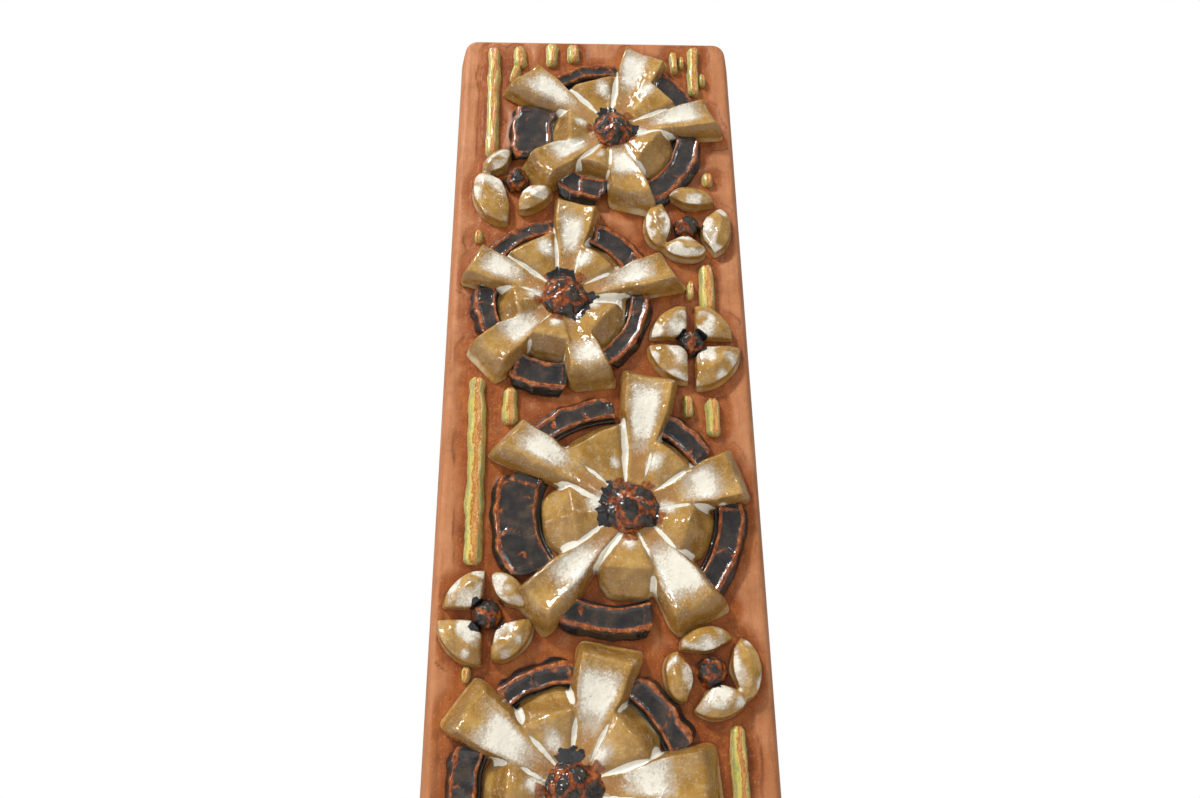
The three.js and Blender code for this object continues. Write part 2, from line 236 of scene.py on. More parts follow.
SMALL_LAYOUTS: dict[str, tuple[tuple[float, float], tuple[Petal, ...]]] = {
    "small_flower_1": (
        (-34.5, 123.5),
        (Petal(136, 36, 7.5, 17, 1), Petal(214, 49, 6.5, 21.8, 0.7, 0.2), Petal(308, 38, 7.5, 18, 0.6)),
    ),
    "small_flower_2": (
        (37.8, 100.5),
        (Petal(80, 36, 10, 19.5, 1), Petal(350, 45, 6, 19.5, 0.6), Petal(263, 42, 6, 17, 0.8),
         Petal(180, 45, 7, 18.8, 0.9)),
    ),
    "small_flower_3": (
        (37.2, 46.3),
        (Petal(135, 43, 5, 17.8, 0.4), Petal(44, 43, 5, 18, 0.4), Petal(224, 43, 5, 18.8, 0.4),
         Petal(313, 43, 5, 21.3, 0.4)),
    ),
    "small_flower_4": (
        (-40.6, -61),
        (Petal(133, 43, 5, 17.2, 0.5), Petal(47, 40, 7, 16.8, 0.8), Petal(226, 43, 5, 19.3, 0.5),
         Petal(315, 40, 6.5, 18.5, 0.8)),
    ),
    "small_flower_5": (
        (38.8, -81),
        (Petal(101, 46, 7, 16.3, 1), Petal(5, 46, 7, 18, 0.7), Petal(283, 46, 5, 16.8, 0.6),
         Petal(189, 38, 7.5, 17.8, 1)),
    ),
    "small_flower_6": (
        (-36, -174),
        (Petal(45, 42, 5, 17, 0.5), Petal(135, 42, 5, 17.5, 0.5), Petal(225, 42, 5, 18, 0.5),
         Petal(315, 42, 5, 17, 0.5)),
    ),
    "small_flower_7": (
        (35, -170),
        (Petal(50, 42, 5, 17, 0.6), Petal(140, 42, 5, 17, 0.6), Petal(230, 42, 5, 18, 0.6),
         Petal(320, 42, 5, 18, 0.6)),
    ),
}

# Where a cut across a band has its points, as shares of its width. Those below 0 are its inner skirt, which
# is black partly as painted shade in the gap beside the band.
BAND_CUT = (
    -0.09, -0.06, -0.03, 0.0, 0.03, 0.07, 0.11, 0.16, 0.22, 0.3, 0.38, 0.46, 0.54, *np.linspace(0.6, 1.0, 14),
)

# Thin upright strokes along the borders: x, z, length, width, lean in degrees.
STROKES = (
    (-46, 166, 59.5, 6, 1), (-34.6, 191, 11.5, 6.4, 4), (-36.6, 181.2, 9, 4.6, -14),
    (-20.2, 192.4, 12.4, 5.8, 0), (-10.1, 193.3, 9.4, 5.8, 0), (35.6, 188.8, 11.5, 4, 3),
    (39, 189, 6, 2.6, 0), (44.3, 184, 27, 5.8, -2), (48.4, 179, 6, 3.4, 0), (48, 125, 6, 5.5, 0),
    (-49.4, 95.5, 5.5, 4, 0), (38.2, 70.5, 8, 3.6, 0), (45, 71.5, 21.5, 6.5, 0),
    (-47, -6, 74, 7.4, 0.5), (-34.4, 19.2, 15, 6, 0), (34.8, 19.2, 8.5, 5, 0),
    (44.5, 14.5, 15.5, 6, 0), (-47.3, -81.5, 5.5, 3.6, 0), (46.5, -122, 46, 6.6, 0),
    (-49, -133, 22, 5.5, 0), (-14, -190, 13, 6, 0), (-3, -192, 9, 5, 0), (9, -189, 15, 5.5, 3),
)


# ---------------------------------------------------------------- drawing


def ground(x: float, z: float, rise: float) -> Vector:
    """A point of the relief in metres.

    Args:
        x: Place across the plaque, in millimetres.
        z: Place along the plaque, in millimetres.
        rise: Height in front of the ground, in millimetres.

    Returns:
        The point in the part's frame.
    """
    return Vector((x, -(Slab.thickness + rise), z)) * MM


def placed_at(centre: Sequence[float], angle: float) -> Callable[[float, float, float], Vector]:
    """Local axes of a form that starts at a place on the ground and runs off at an angle.

    Args:
        centre: x and z of the start, in millimetres.
        angle: Direction in degrees, anticlockwise from +X.

    Returns:
        A function of the distance along, the distance across and the rise.
    """
    cos, sin = math.cos(math.radians(angle)), math.sin(math.radians(angle))
    return lambda s, across, rise: ground(
        centre[0] + cos * s - sin * across, centre[1] + sin * s + cos * across, rise
    )


def mix(a: float, b: float, t: float) -> float:
    """A value between a and b."""
    return a + (b - a) * t


def step(low: float, high: float, value: Field | float) -> Field | float:
    """A smooth step from 0 at low to 1 at high; low may be the larger."""
    t = np.clip((value - low) / (high - low), 0, 1)
    return t * t * (3 - 2 * t)


def hump(value: Field | float, width: float) -> Field | float:
    """A bell of height 1 and the given half width."""
    return np.exp(-((value / width) ** 2))


def cloud(places: Field, size: float, seed: float = 0.0) -> Field:
    """Smooth noise from -1 to 1.

    Args:
        places: Rows of x, z and rise, in millimetres.
        size: Size of its clouds, in millimetres.
        seed: Offset that gives another pattern.

    Returns:
        One value for each row.
    """
    shift = Vector((seed, seed * 1.7, seed * 0.6))
    return np.array([noise.noise(Vector(p) / size + shift) for p in places])


def side(foot: float, top: float, rise: float, bulge: float) -> list[tuple[float, float]]:
    """The side of a petal in a cut across it, from its foot in the slab up to the edge of its top.

    Args:
        foot: Distance of the foot from the petal's middle line.
        top: Distance of the top's edge.
        rise: Height of the top's edge.
        bulge: Power of the rise. The smaller it is, the steeper the side stands at its foot.

    Returns:
        Six distances with their rises.
    """
    return [(mix(foot, top, (k / 5) ** 2), mix(-ROOT_DEPTH, rise, (k / 5) ** bulge)) for k in range(6)]


def draw_form(bm: bmesh.types.BMesh, rings: Sequence[Ring]) -> None:
    """Draws a closed form: a disc is extruded from ring to ring.

    Args:
        bm: The mesh that the form is added to.
        rings: Rings of the same number of points.
    """
    disc = bmesh.ops.create_circle(bm, cap_ends=True, segments=len(rings[0]), radius=MM)
    face = disc["verts"][0].link_faces[0]
    for vert, place in zip(face.verts, rings[0]):
        vert.co = place
    for k, ring in enumerate(rings[1:]):
        grown = bmesh.ops.extrude_face_region(bm, geom=[face])
        if k:
            bmesh.ops.delete(bm, geom=[face], context="FACES_ONLY")
        face = next(part for part in grown["geom"] if isinstance(part, bmesh.types.BMFace))
        for vert, place in zip(face.verts, ring):
            vert.co = place


def face_outwards(bm: bmesh.types.BMesh) -> None:
    """Turns the faces of each closed shell of a mesh outwards."""
    bmesh.ops.recalc_face_normals(bm, faces=bm.faces)
    left = set(bm.faces)
    while left:
        shell: list[bmesh.types.BMFace] = []
        reached = [left.pop()]
        while reached:
            shell.append(reached.pop())
            beside = {face for edge in shell[-1].edges for face in edge.link_faces} & left
            left -= beside
            reached.extend(beside)
        if sum(face.calc_center_median().dot(face.normal) * face.calc_area() for face in shell) < 0:
            bmesh.ops.reverse_faces(bm, faces=shell)


def to_object(name: str, bm: bmesh.types.BMesh) -> bpy.types.Object:
    """Makes a linked, smooth-shaded object of a mesh and frees the mesh.

    Args:
        name: The piece's name.
        bm: The finished mesh.

    Returns:
        The new object, at the origin.
    """
    face_outwards(bm)
    for face in bm.faces:
        face.smooth = True
    mesh = bpy.data.meshes.new(name)
    bm.to_mesh(mesh)
    bm.free()
    piece = bpy.data.objects.new(name, mesh)
    bpy.context.scene.collection.objects.link(piece)
    return piece


def fuse(bm: bmesh.types.BMesh, voxel: float, rounds: int) -> bmesh.types.BMesh:
    """Melts overlapping closed forms into one skin with soft joints, as clay pressed in a mould.

    Args:
        bm: The overlapping forms. It is freed.
        voxel: Size of the new faces, in millimetres.
        rounds: How often the skin is smoothed.

    Returns:
        The skin, cut off just under the ground and closed there.
    """
    rough = to_object("rough", bm)
    melt = rough.modifiers.new("melt", "REMESH")
    melt.mode = "VOXEL"
    melt.voxel_size = voxel * MM
    graph = bpy.context.evaluated_depsgraph_get()
    skin = bmesh.new()
    skin.from_object(rough, graph)
    bpy.data.objects.remove(rough)
    bmesh.ops.bisect_plane(
        skin, geom=[*skin.verts, *skin.edges, *skin.faces], plane_co=ground(0, 0, -CUT_DEPTH),
        plane_no=(0, 1, 0), clear_outer=True,
    )
    bmesh.ops.holes_fill(skin, edges=[edge for edge in skin.edges if edge.is_boundary])
    axes = {"use_axis_x": True, "use_axis_y": True, "use_axis_z": True}
    for _ in range(rounds):
        bmesh.ops.smooth_vert(skin, verts=skin.verts, factor=0.5, **axes)
    return skin


class Skin:
    """The points of a piece as arrays, in millimetres, for shaping it and for marking its glaze."""

    def __init__(self, piece: bpy.types.Object) -> None:
        """Reads a piece's points and its outward directions."""
        self.mesh = piece.data
        count = len(self.mesh.vertices)
        flat = np.empty(count * 3, dtype=np.float32)
        self.mesh.vertices.foreach_get("co", flat)
        metres = flat.reshape(-1, 3).astype(float)
        self.places = np.stack(
            [metres[:, 0] / MM, metres[:, 2] / MM, -metres[:, 1] / MM - Slab.thickness], axis=1
        )
        self.mesh.vertex_normals.foreach_get("vector", flat)
        out = flat.reshape(-1, 3).astype(float)
        self.outwards = np.stack([out[:, 0], out[:, 2], -out[:, 1]], axis=1)

    def hollow(self, rounds: int) -> Field:
        """How far each point lies in a hollow: positive in a valley, negative on a ridge, in millimetres.

        Args:
            rounds: How often the neighbours are averaged, which sets the size of what counts.

        Returns:
            One value for each point.
        """
        count = len(self.places)
        pairs = np.empty(len(self.mesh.edges) * 2, dtype=np.int32)
        self.mesh.edges.foreach_get("vertices", pairs)
        a, b = pairs.reshape(-1, 2).T
        links = np.bincount(pairs, minlength=count)[:, None]
        soft = self.places.copy()
        for _ in range(rounds):
            sums = [np.bincount(a, soft[b, k], count) + np.bincount(b, soft[a, k], count) for k in range(3)]
            soft = 0.5 * soft + 0.5 * np.stack(sums, axis=1) / np.maximum(links, 1)
        return ((soft - self.places) * self.outwards).sum(axis=1)

    def push(self, amount: Field) -> None:
        """Moves each point outwards by its own amount, in millimetres."""
        self.places += self.outwards * amount[:, None]
        self.write_places()

    def write_places(self) -> None:
        """Writes the points back into the mesh."""
        x, z, rise = self.places.T
        metres = np.stack([x, -(Slab.thickness + rise), z], axis=1) * MM
        self.mesh.vertices.foreach_set("co", metres.astype(np.float32).ravel())
        self.mesh.update()

    def mark(self, name: str, values: Field) -> None:
        """Stores a value from 0 to 1 for each point, which the glaze reads."""
        layer = self.mesh.attributes.new(name, "FLOAT", "POINT")
        layer.data.foreach_set("value", np.clip(values, 0, 1).astype(np.float32))


def polar(places: Field, centre: Sequence[float], angle: float) -> tuple[Field, Field]:
    """Distance along and across from a centre at an angle.

    Args:
        places: Rows of x, z and rise.
        centre: x and z of the start.
        angle: Direction in degrees.

    Returns:
        The two distances of each row, across counted anticlockwise.
    """
    cos, sin = math.cos(math.radians(angle)), math.sin(math.radians(angle))
    dx, dz = places[:, 0] - centre[0], places[:, 1] - centre[1]
    return dx * cos + dz * sin, dz * cos - dx * sin


# ---------------------------------------------------------------- finishes


def linear(code: str) -> tuple[float, float, float, float]:
    """Turns an sRGB hex colour to linear.

    Args:
        code: Six hex digits.

    Returns:
        Red, green, blue and an alpha of 1.
    """
    parts = [int(code[i : i + 2], 16) / 255 for i in (0, 2, 4)]
    red, green, blue = (c / 12.92 if c <= 0.04045 else ((c + 0.055) / 1.055) ** 2.4 for c in parts)
    return red, green, blue, 1.0


class Nodes:
    """A tree of shader nodes that is being built."""

    def __init__(self, tree: bpy.types.NodeTree) -> None:
        """Takes the tree as it is."""
        self.tree = tree

    def join(self, node: bpy.types.Node, inputs: dict[str | int, object]) -> None:
        """Gives a node its inputs.

        Args:
            node: The node.
            inputs: Socket name or index to a value, a mark's name, or another node's output.
        """
        for name, value in inputs.items():
            if isinstance(value, str):
                value = self.add("Attribute", out="Fac", attribute_name=value)
            if isinstance(value, Socket):
                self.tree.links.new(value, node.inputs[name])
            else:
                node.inputs[name].default_value = value

    def add(
        self, kind: str, inputs: dict[str | int, object] | None = None, out: str | int = 0,
        stops: Sequence[tuple[float, str]] = (), **settings: object,
    ) -> Socket:
        """Adds a node with its settings and links.

        Args:
            kind: The node's type, without the words that all types start with.
            inputs: As for join.
            out: Name or index of the output that is wanted.
            stops: Positions and hex colours, for a colour ramp.
            **settings: Properties of the node.

        Returns:
            The output.
        """
        node = self.tree.nodes.new("ShaderNode" + kind)
        for name, value in settings.items():
            setattr(node, name, value)
        self.join(node, inputs or {})
        while stops and len(node.color_ramp.elements) < len(stops):
            node.color_ramp.elements.new(0.5)
        for k, (position, code) in enumerate(stops):
            node.color_ramp.elements[k].position = position
            node.color_ramp.elements[k].color = linear(code)
        return node.outputs[out]


class Finish(Nodes):
    """A material: a tree of nodes under one Principled shader. Each kind of finish paints its own.

    Sizes are millimetres. A text in place of a value names a mark that the piece's points carry.
    coat is the weight and the roughness of the clear layer on top.
    """

    name: ClassVar[str]
    roughness: ClassVar[float]
    ior: ClassVar[float] = 1.5
    coat: ClassVar[tuple[float, float]] = (0.0, 0.03)

    def __init__(self) -> None:
        """Starts the tree with its shader and its object coordinates, and paints it."""
        self.material = bpy.data.materials.new(self.name)
        self.material.use_nodes = True
        super().__init__(self.material.node_tree)
        self.shader = next(node for node in self.tree.nodes if node.type == "BSDF_PRINCIPLED")
        self.join(self.shader, {"Roughness": self.roughness, "IOR": self.ior})
        self.join(self.shader, {"Coat Weight": self.coat[0], "Coat Roughness": self.coat[1]})
        self.coords = self.add("TexCoord", out="Object")
        self.paint()

    def paint(self) -> None:
        """Makes the finish's own nodes."""
        raise NotImplementedError

    def grain(self, size: float, detail: float, stretch: tuple[float, float, float] = (1, 1, 1)) -> Socket:
        """Noise about 0.5 whose clouds have a real size.

        Args:
            size: Size of a cloud.
            detail: How many finer layers it has.
            stretch: Multiplies the size along x, y and z.

        Returns:
            The noise value.
        """
        where = self.add("Mapping", {"Vector": self.coords, "Scale": tuple(1 / s for s in stretch)})
        return self.add(
            "TexNoise", {"Vector": where, "Scale": 1 / (size * MM), "Detail": detail, "Roughness": 0.6}
        )

    def wobble(
        self, amount: float, size: float, detail: float, stretch: tuple[float, float, float] = (1, 1, 1)
    ) -> Socket:
        """Noise about 0 that spans an amount, with the other arguments of grain."""
        grain = self.grain(size, detail, stretch)
        return self.add("Math", {0: grain, 1: amount, 2: -amount / 2}, operation="MULTIPLY_ADD")

    def edge(
        self, mark: Socket | str, low: float, high: float, amount: float = 0.0, size: float = 1.0,
        detail: float = 4.0,
    ) -> Socket:
        """A mark cut off softly between two levels, with its edge broken up by noise.

        Args:
            mark: The mark, or any value.
            low: Where the result starts to rise from 0.
            high: Where the result reaches 1. It may be the smaller.
            amount: How much the noise shifts it; none at 0.
            size: Size of the noise.
            detail: Finer layers of the noise.

        Returns:
            The result.
        """
        if amount:
            mark = self.add("Math", {0: mark, 1: self.wobble(amount, size, detail)}, operation="ADD")
        return self.add(
            "MapRange", {"Value": mark, "From Min": low, "From Max": high}, interpolation_type="SMOOTHSTEP"
        )

    def tint(self, below: Socket, mark: Socket | str, strength: float, above: Socket | str) -> Socket:
        """Lays a colour over another where a mark says so.

        Args:
            below: The colour underneath.
            mark: Where the upper one lies, from 0 to 1.
            strength: How well it covers there.
            above: The upper colour, or its hex code.

        Returns:
            The colour.
        """
        cover = self.add("Math", {0: mark, 1: strength}, operation="MULTIPLY")
        upper = linear(above) if isinstance(above, str) else above
        return self.add("Mix", {0: cover, 6: below, 7: upper}, out=2, data_type="RGBA")

    def relief(self, *layers: tuple[Socket, float]) -> None:
        """Gives the surface its fine relief.

        Args:
            *layers: Height values and the depth that each stands for.
        """
        normal = None
        for height, depth in layers:
            under = {} if normal is None else {"Normal": normal}
            normal = self.add("Bump", {"Height": height, "Distance": depth * MM, "Strength": 1.0, **under})
        self.join(self.shader, {"Normal": normal})


class PetalGlaze(Finish):
    """Poured white stoneware glaze, fired glossy.

    It looks cream where it pools, khaki where it thins over an edge, and white in the valleys, where it
    ran together.
    """

    name = "petal_glaze"
    roughness = 0.13
    ior = 1.52
    coat = (0.5, 0.04)

    def paint(self) -> None:
        """Lays the cream over the khaki, and rust, black runs and iron specks over both."""
        ramp = [(0.3, "9d712b"), (0.5, "b38538"), (0.7, "cb9f54")]
        colour = self.add("ValToRGB", {"Fac": self.grain(9, 3)}, stops=ramp)
        colour = self.tint(colour, self.edge(self.grain(0.8, 2), 0.55, 0.75), 0.5, "cdb58a")
        colour = self.tint(colour, self.edge(self.grain(2.6, 4), 0.5, 0.68), 0.32, "d2b676")
        # painted shade: darker khaki on the steep sides, which turn away from the front
        colour = self.tint(colour, "steep_shade", 0.55, "7c531f")
        colour = self.tint(colour, self.edge("thin", 0.4, 1.0, 0.9, 3), 0.45, "a97f45")
        colour = self.tint(colour, self.edge("foot", 0.85, 1.4, 1.8, 11), 0.75, "d6cba6")
        colour = self.tint(colour, self.edge("root", 0.45, 1.0, 0.8, 1.8), 0.65, "b07c4a")
        pool = self.add("Math", {0: "pool", 1: self.wobble(1.1, 0.8, 3)}, operation="ADD")
        line = self.add("Math", {0: "line", 1: self.wobble(0.4, 2.4, 4)}, operation="ADD")
        colour = self.tint(colour, self.edge(pool, 0.02, 0.55, 0.9, 5, 5), 0.75, "cfc2b0")
        colour = self.tint(colour, self.edge(line, 0.04, 0.16), 0.6, "878063")
        white = {0: self.edge(pool, 0.42, 0.96, 1.1, 4.5, 5), 1: self.edge(line, 0.14, 0.34)}
        colour = self.tint(colour, self.add("Math", white, operation="MAXIMUM"), 1.0, "faf4e4")
        rust = self.add("ValToRGB", {"Fac": self.grain(1.2, 3)}, stops=[(0.4, "6a2f0e"), (0.6, "a85a1e")])
        colour = self.tint(colour, self.edge("rust", 0.45, 0.9, 1.1, 2.2, 5), 0.9, rust)
        colour = self.tint(colour, self.edge("dark", 0.42, 0.6, 1.5, 1.7), 1.0, "29272a")
        specks = self.add("TexVoronoi", {"Vector": self.coords, "Scale": 1 / (3.2 * MM)})
        colour = self.tint(colour, self.edge(specks, 0.09, 0.05), 0.55, "5b4a3c")
        self.join(self.shader, {"Base Color": colour})
        self.relief((self.grain(6, 2), 0.75), (self.grain(2.2, 2), 0.3), (self.grain(0.9, 2), 0.08))


class DarkGlaze(Finish):
    """Brushed iron glaze, fired glossy: slate where thick, rust where it thins, black on the flanks."""

    name = "dark_glaze"
    roughness = 0.14
    ior = 1.52
    coat = (0.5, 0.05)

    def paint(self) -> None:
        """Lays broken rust over the slate along the rims, and black down the flanks and on the inner skirt,
        where the black is partly painted shade in the gap beside the band.
        """
        slate = [(0.35, "262427"), (0.52, "38332f"), (0.68, "54443a")]
        rust = [(0.32, "5e2e12"), (0.47, "9a4c1f"), (0.58, "b5662f"), (0.72, "cf945e")]
        colour = self.add("ValToRGB", {"Fac": self.grain(5, 5)}, stops=slate)
        blotch = {0: self.edge(self.grain(7, 3), 0.52, 0.68), 1: 0.45, 2: "rim"}
        rim = self.edge(self.add("Math", blotch, operation="MULTIPLY_ADD"), 0.34, 0.8, 1.9, 4.2, 6)
        colour = self.tint(colour, rim, 1.0, self.add("ValToRGB", {"Fac": self.grain(1.6, 4)}, stops=rust))
        # black glaze on the flanks; on the inner skirt it is partly painted shade in the gap beside the band
        colour = self.tint(colour, self.edge("flank_and_gap_shade", 0.4, 0.6, 0.5, 1.6), 1.0, "1c1a1d")
        self.join(self.shader, {"Base Color": colour})
        self.relief((self.grain(3, 3), 0.3), (self.grain(0.8, 2), 0.08))


class BudGlaze(Finish):
    """The iron glaze where it lies thick on the buds: black pools with rust between, like melted wax."""

    name = "bud_glaze"
    roughness = 0.12
    ior = 1.45
    coat = (0.3, 0.04)

    def paint(self) -> None:
        """Draws the pools as swayed cells and lays rust along the seams between them."""
        black = [(0.38, "25211f"), (0.64, "484139")]
        rust = [(0.36, "4f1f0b"), (0.47, "7f370f"), (0.58, "a9551b"), (0.72, "c47a34")]
        clouds = {"Vector": self.coords, "Scale": 1 / (5 * MM), "Detail": 2.0}
        sway = self.add("TexNoise", clouds, out="Color")
        moved = self.add("VectorMath", {0: sway, "Scale": 6 * MM}, operation="SCALE")
        where = self.add("VectorMath", {0: self.coords, 1: moved}, operation="ADD")
        cells = self.add("TexVoronoi", {"Vector": where, "Scale": 1 / (8 * MM)}, feature="DISTANCE_TO_EDGE")
        colour = self.add("ValToRGB", {"Fac": self.grain(3, 4)}, stops=black)
        seam = self.edge(cells, 0.155, 0.03, 0.2, 2.5)
        colour = self.tint(colour, seam, 1.0, self.add("ValToRGB", {"Fac": self.grain(2.4, 3)}, stops=rust))
        self.join(self.shader, {"Base Color": colour})
        self.relief((self.edge(cells, 0.0, 0.3), 0.9), (self.grain(2.4, 2), 0.35))


class StrokeGlaze(Finish):
    """Trailed rutile glaze, fired glossy: it broke into yellow-green and orange stripes as it ran."""

    name = "stroke_glaze"
    roughness = 0.2
    coat = (0.4, 0.06)

    def paint(self) -> None:
        """Runs the stripes along the strokes, swayed and flecked."""
        stripes = [
            (0.02, "cfc568"), (0.14, "a3a46c"), (0.24, "e6c878"), (0.33, "c0672f"), (0.42, "e0ac5e"),
            (0.54, "bd6a30"), (0.62, "eccd6c"), (0.76, "c9c35c"), (0.86, "9fa377"), (0.96, "dfcb74"),
        ]
        place = self.add("Math", {0: "across", 1: self.wobble(0.9, 2.2, 4, (1, 1, 5))}, operation="ADD")
        place = self.add("Math", {0: place, 1: self.wobble(0.35, 1.1, 3)}, operation="ADD")
        self.join(self.shader, {"Base Color": self.add("ValToRGB", {"Fac": place}, stops=stripes)})
        self.relief((self.grain(2.2, 3, (1, 1, 3)), 0.4), (self.grain(0.9, 3), 0.2))


class FiredClay(Finish):
    """Pressed iron-red stoneware, unglazed.

    It is dry and pale, but darker and glossier where glaze ran beside it.
    """

    name = "fired_clay"
    roughness = 0.5

    def paint(self) -> None:
        """Mixes dry and wet clay and adds stains, drag streaks, grog and tool cuts, and painted shade in the
        crease at the foot of the relief.
        """
        dry = [(0.3, "b87547"), (0.5, "c68153"), (0.7, "d09064")]
        wet = [(0.3, "8c4316"), (0.5, "a35622"), (0.7, "bb6d32")]
        streaks = self.grain(2.2, 3, (1, 1, 14))
        near = self.edge("near", 0.1, 0.95, 0.6, 9)
        colour = self.add("ValToRGB", {"Fac": self.grain(22, 4)}, stops=dry)
        colour = self.tint(colour, self.edge(self.grain(13, 5), 0.5, 0.66), 0.4, "9a6238")
        damp = self.add("ValToRGB", {"Fac": self.grain(8, 4, (1, 1, 2))}, stops=wet)
        damp = self.tint(damp, self.edge(self.grain(5, 5), 0.5, 0.64), 0.5, "763711")
        colour = self.tint(colour, near, 1.0, damp)
        colour = self.tint(colour, self.edge(streaks, 0.5, 0.75), 0.45, "97501f")
        colour = self.tint(colour, self.edge(self.grain(0.7, 2), 0.56, 0.72), 0.4, "dda06a")
        # the cut mark darkens the clay along the tool cuts and, as painted shade, in the crease at the foot
        # of the relief
        colour = self.tint(colour, self.edge("cut", 0.35, 1.0, 0.8, 5), 0.65, "7a3815")
        dull = self.add("Math", {0: near, 1: -0.2, 2: 0.55}, operation="MULTIPLY_ADD")
        self.join(self.shader, {"Base Color": colour, "Roughness": dull, "Specular IOR Level": 0.35})
        self.relief((streaks, 0.22), (self.grain(6, 2), 0.5), (self.grain(0.8, 3), 0.1))


class FloorPaint(Finish):
    """Rolled matt paint, almost even and off white."""

    name = "floor_paint"
    roughness = 0.7

    def paint(self) -> None:
        """Varies the white a little over wide clouds."""
        ramp = [(0.3, "e6e5e2"), (0.7, "efeeeb")]
        colour = self.add("ValToRGB", {"Fac": self.grain(400, 2)}, stops=ramp)
        self.join(self.shader, {"Base Color": colour})


class Glaze(Enum):
    """The finishes of the plaque, each with the record's slot that it belongs to."""

    CLAY = ("fired_clay", FiredClay)
    PETAL = ("petal_glaze", PetalGlaze)
    DARK = ("dark_glaze", DarkGlaze)
    BUD = ("dark_glaze", BudGlaze)
    STROKE = ("stroke_glaze", StrokeGlaze)


class Dresser:
    """Gives pieces their finish and their place in the frame."""

    def __init__(self) -> None:
        """Makes every finish once."""
        self.materials = {glaze: glaze.value[1]().material for glaze in Glaze}

    def dress(self, piece: bpy.types.Object, glaze: Glaze) -> bpy.types.Object:
        """Finishes a piece and fixes it to the plaque's body.

        Args:
            piece: The piece.
            glaze: Its finish.

        Returns:
            The same piece.
        """
        piece.data.materials.append(self.materials[glaze])
        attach(piece, "root")
        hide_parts(NODE)
        LOG.info("%s: %d faces", piece.name, len(piece.data.polygons))
        return piece


# ---------------------------------------------------------------- the large flowers


